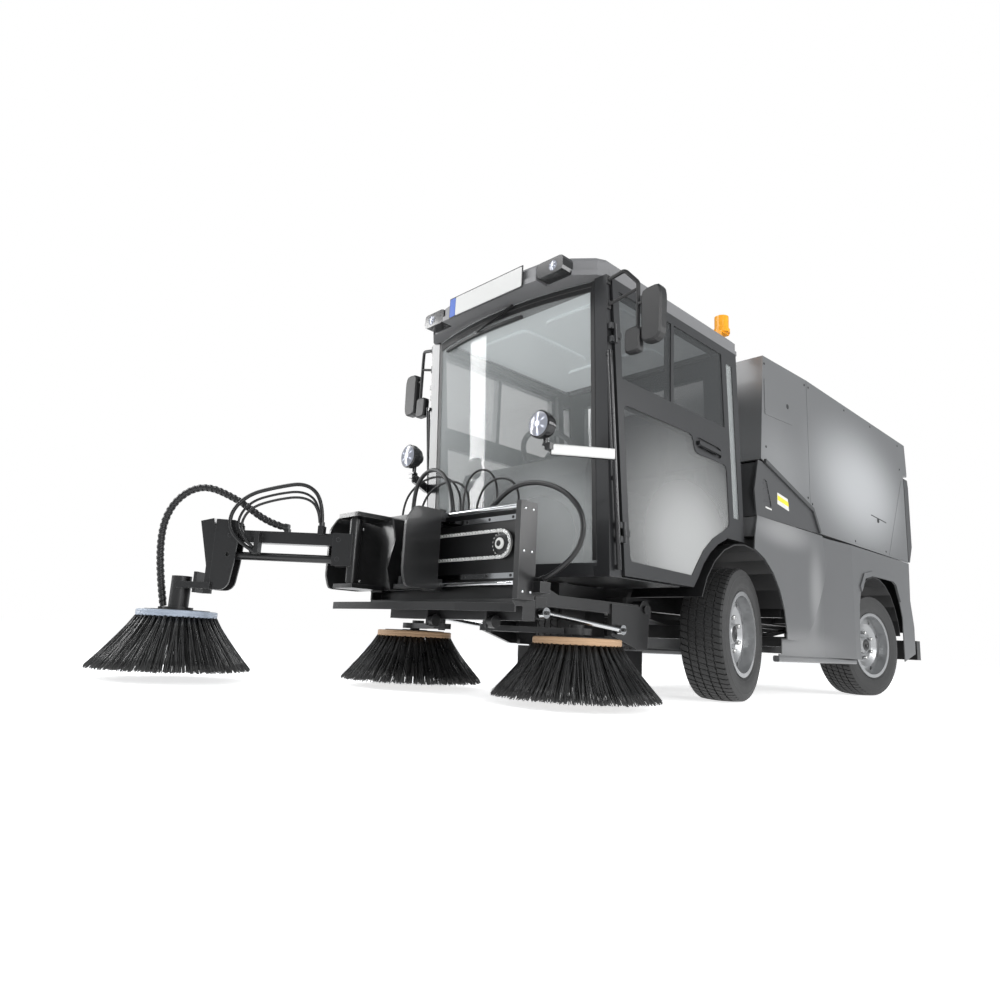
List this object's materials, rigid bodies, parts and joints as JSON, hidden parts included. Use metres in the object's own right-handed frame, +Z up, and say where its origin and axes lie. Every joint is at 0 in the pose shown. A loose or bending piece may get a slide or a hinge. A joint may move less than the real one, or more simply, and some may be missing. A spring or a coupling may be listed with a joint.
{
  "type": "compact street sweeper",
  "caption": "Compact street sweeper with a glazed cab, steered wheels, a tipping hopper, side brushes and a front brush on a sliding boom.",
  "frame": {"origin": "middle of the whole object's footprint, on the ground", "axes": "+X is the vehicle's left, -Y its front and +Z up; Y is the longest extent"},
  "size_m": [2.2634, 5.3789, 2.145],
  "materials": {
    "frame_black": "semi-gloss",
    "engine_grey": "matte",
    "cab_anthracite": "semi-gloss",
    "roof_grey": "satin",
    "pane": "clear",
    "interior_dark": "matte",
    "seat_cloth": "woven",
    "tyre": "matte",
    "rim_silver": "satin",
    "hopper_silver": "satin metallic",
    "body_grey": "satin",
    "liner_black": "matte",
    "duct_rubber": "matte",
    "hose_black": "matte",
    "rod_chrome": "polished",
    "chain_steel": "oiled",
    "bristle_black": "matte",
    "trim_black": "satin",
    "lamp": "polished",
    "amber": "clear",
    "plate_white": "gloss"
  },
  "bodies": {
    "chassis": {"chassis_frame": "frame_black", "tow_jaw": "frame_black", "axles": "frame_black", "engine_block": "engine_grey", "cab_shell": "cab_anthracite", "cab_roof": "roof_grey", "cab_glass": "pane", "cab_interior": "interior_dark", "seat_cushions": "seat_cloth", "body_left": "body_grey", "body_right": "body_grey", "body_rear": "frame_black", "vent_panels": "cab_anthracite", "wheel_liners": "liner_black", "suction_mouth": "frame_black", "suction_duct": "duct_rubber", "mirrors": "trim_black", "headlamps": "lamp", "beacons": "amber", "number_plate": "plate_white"},
    "fork_front_left": {"knuckle_front_left": "frame_black"},
    "wheel_front_left": {"rim_front_left": "rim_silver", "tyre_front_left": "tyre"},
    "fork_front_right": {"knuckle_front_right": "frame_black"},
    "wheel_front_right": {"rim_front_right": "rim_silver", "tyre_front_right": "tyre"},
    "fork_rear_left": {"knuckle_rear_left": "frame_black"},
    "wheel_rear_left": {"rim_rear_left": "rim_silver", "tyre_rear_left": "tyre"},
    "fork_rear_right": {"knuckle_rear_right": "frame_black"},
    "wheel_rear_right": {"rim_rear_right": "rim_silver", "tyre_rear_right": "tyre"},
    "leaf_left": {"door_left": "cab_anthracite", "door_left_glass": "pane"},
    "leaf_right": {"door_right": "cab_anthracite", "door_right_glass": "pane"},
    "hopper": {"hopper_body": "hopper_silver"},
    "flap": {"hopper_tailgate": "hopper_silver"},
    "cylinder_barrels": {"tip_barrels": "frame_black"},
    "cylinder_rods": {"tip_rods": "rod_chrome"},
    "front_unit": {"front_arms": "frame_black", "tie_rods": "chain_steel", "front_frame": "frame_black", "slide_rails": "rod_chrome", "chain_drive": "chain_steel", "guard_shelf": "frame_black", "hose_unit_arch": "hose_black", "hose_unit_loop": "hose_black"},
    "side_arm_left": {"brush_arm_left": "frame_black"},
    "side_brush_left": {"brush_left": "bristle_black"},
    "side_arm_right": {"brush_arm_right": "frame_black"},
    "side_brush_right": {"brush_right": "bristle_black"},
    "slide_carriage": {"carriage": "frame_black"},
    "boom_post": {"boom_pivot": "frame_black"},
    "boom_beam": {"boom": "frame_black", "hose_boom_bundle": "hose_black", "hose_boom_loop": "hose_black"},
    "boom_rod": {"boom_link": "frame_black"},
    "boom_end": {"boom_head": "frame_black"},
    "third_brush": {"brush_third": "bristle_black"}
  },
  "joints": [
    {"name": "steer_front_left", "type": "hinge", "parent": "chassis", "child": "fork_front_left", "pos_m": [0.70429, -0.1315, 0.341], "axis": [0, 0, 1], "range_deg": [-35, 15]},
    {"name": "spin_front_left", "type": "hinge", "parent": "fork_front_left", "child": "wheel_front_left", "pos_m": [0.70429, -0.1315, 0.341], "axis": [0.9848, 0.1736, 0], "continuous": true},
    {"name": "steer_front_right", "type": "hinge", "parent": "chassis", "child": "fork_front_right", "pos_m": [-0.19571, -0.1315, 0.341], "axis": [0, 0, 1], "range_deg": [-35, 15]},
    {"name": "spin_front_right", "type": "hinge", "parent": "fork_front_right", "child": "wheel_front_right", "pos_m": [-0.19571, -0.1315, 0.341], "axis": [0.9848, 0.1736, 0], "continuous": true},
    {"name": "steer_rear_left", "type": "hinge", "parent": "chassis", "child": "fork_rear_left", "pos_m": [0.70429, 1.7685, 0.341], "axis": [0, 0, 1], "range_deg": [-15, 35]},
    {"name": "spin_rear_left", "type": "hinge", "parent": "fork_rear_left", "child": "wheel_rear_left", "pos_m": [0.70429, 1.7685, 0.341], "axis": [0.9848, -0.1736, 0], "continuous": true},
    {"name": "steer_rear_right", "type": "hinge", "parent": "chassis", "child": "fork_rear_right", "pos_m": [-0.19571, 1.7685, 0.341], "axis": [0, 0, 1], "range_deg": [-15, 35]},
    {"name": "spin_rear_right", "type": "hinge", "parent": "fork_rear_right", "child": "wheel_rear_right", "pos_m": [-0.19571, 1.7685, 0.341], "axis": [0.9848, -0.1736, 0], "continuous": true},
    {"name": "door_left_hinge", "type": "hinge", "parent": "chassis", "child": "leaf_left", "pos_m": [0.88629, -1.1445, 0.53], "axis": [0, 0.0969, -0.9953], "range_deg": [0, 60]},
    {"name": "door_right_hinge", "type": "hinge", "parent": "chassis", "child": "leaf_right", "pos_m": [-0.37771, -1.1445, 0.53], "axis": [0, -0.0969, 0.9953], "range_deg": [0, 60]},
    {"name": "hopper_tip", "type": "hinge", "parent": "chassis", "child": "hopper", "pos_m": [0.25429, 2.5185, 0.968], "axis": [-1, 0, 0], "range_deg": [0, 50]},
    {"name": "tailgate_hinge", "type": "hinge", "parent": "hopper", "child": "flap", "pos_m": [0.25429, 2.6775, 1.694], "axis": [1, 0, 0], "range_deg": [0, 80]},
    {"name": "cylinder_swing", "type": "hinge", "parent": "chassis", "child": "cylinder_barrels", "pos_m": [0.25429, 2.161, 0.34879], "axis": [1, 0, 0], "range_deg": [0, 26]},
    {"name": "cylinder_stroke", "type": "slide", "parent": "cylinder_barrels", "child": "cylinder_rods", "axis": [0, -0.5, 0.866], "range_m": [0, 0.4584]},
    {"name": "front_lift", "type": "hinge", "parent": "chassis", "child": "front_unit", "pos_m": [0.25429, -0.7125, 0.425], "axis": [-1, 0, 0], "range_deg": [0, 8]},
    {"name": "side_swing_left", "type": "hinge", "parent": "front_unit", "child": "side_arm_left", "pos_m": [0.41429, -1.4715, 0.3], "axis": [0, 0, 1], "range_deg": [-12, 12]},
    {"name": "side_brush_spin_left", "type": "hinge", "parent": "side_arm_left", "child": "side_brush_left", "pos_m": [0.72429, -1.2615, 0.2], "axis": [0, 0, 1], "continuous": true},
    {"name": "side_swing_right", "type": "hinge", "parent": "front_unit", "child": "side_arm_right", "pos_m": [0.09429, -1.4715, 0.3], "axis": [0, 0, 1], "range_deg": [-12, 12]},
    {"name": "side_brush_spin_right", "type": "hinge", "parent": "side_arm_right", "child": "side_brush_right", "pos_m": [-0.27571, -1.3415, 0.2], "axis": [0, 0, 1], "continuous": true},
    {"name": "carriage_slide", "type": "slide", "parent": "front_unit", "child": "slide_carriage", "axis": [1, 0, 0], "range_m": [0, 0.4]},
    {"name": "boom_swing", "type": "hinge", "parent": "slide_carriage", "child": "boom_post", "pos_m": [-0.19571, -1.7915, 0.6], "axis": [0, 0, 1], "range_deg": [-15, 45]},
    {"name": "boom_lift", "type": "hinge", "parent": "boom_post", "child": "boom_beam", "pos_m": [-0.24392, -1.83658, 0.67], "axis": [-0.683, 0.7304, 0], "range_deg": [0, 25]},
    {"name": "boom_link_hinge", "type": "hinge", "parent": "boom_post", "child": "boom_rod", "pos_m": [-0.24392, -1.83658, 0.58], "axis": [-0.683, 0.7304, 0], "range_deg": [0, 25]},
    {"name": "boom_head_level", "type": "hinge", "parent": "boom_beam", "child": "boom_end", "pos_m": [-0.6208, -2.18902, 0.67], "axis": [-0.683, 0.7304, 0], "range_deg": [-25, 0]},
    {"name": "third_brush_spin", "type": "hinge", "parent": "boom_end", "child": "third_brush", "pos_m": [-0.78171, -2.3395, 0.2], "axis": [0, 0, 1], "continuous": true}
  ],
  "couplings": [
    {"joint": "steer_front_right", "follows": "steer_front_left", "ratio": 1},
    {"joint": "steer_rear_left", "follows": "steer_front_left", "ratio": -1},
    {"joint": "steer_rear_right", "follows": "steer_front_left", "ratio": -1},
    {"joint": "cylinder_swing", "follows": "hopper_tip", "ratio": 0.5},
    {"joint": "cylinder_stroke", "follows": "hopper_tip", "m_per_rad": 0.52298},
    {"joint": "boom_link_hinge", "follows": "boom_lift", "ratio": 1},
    {"joint": "boom_head_level", "follows": "boom_lift", "ratio": -1}
  ]
}
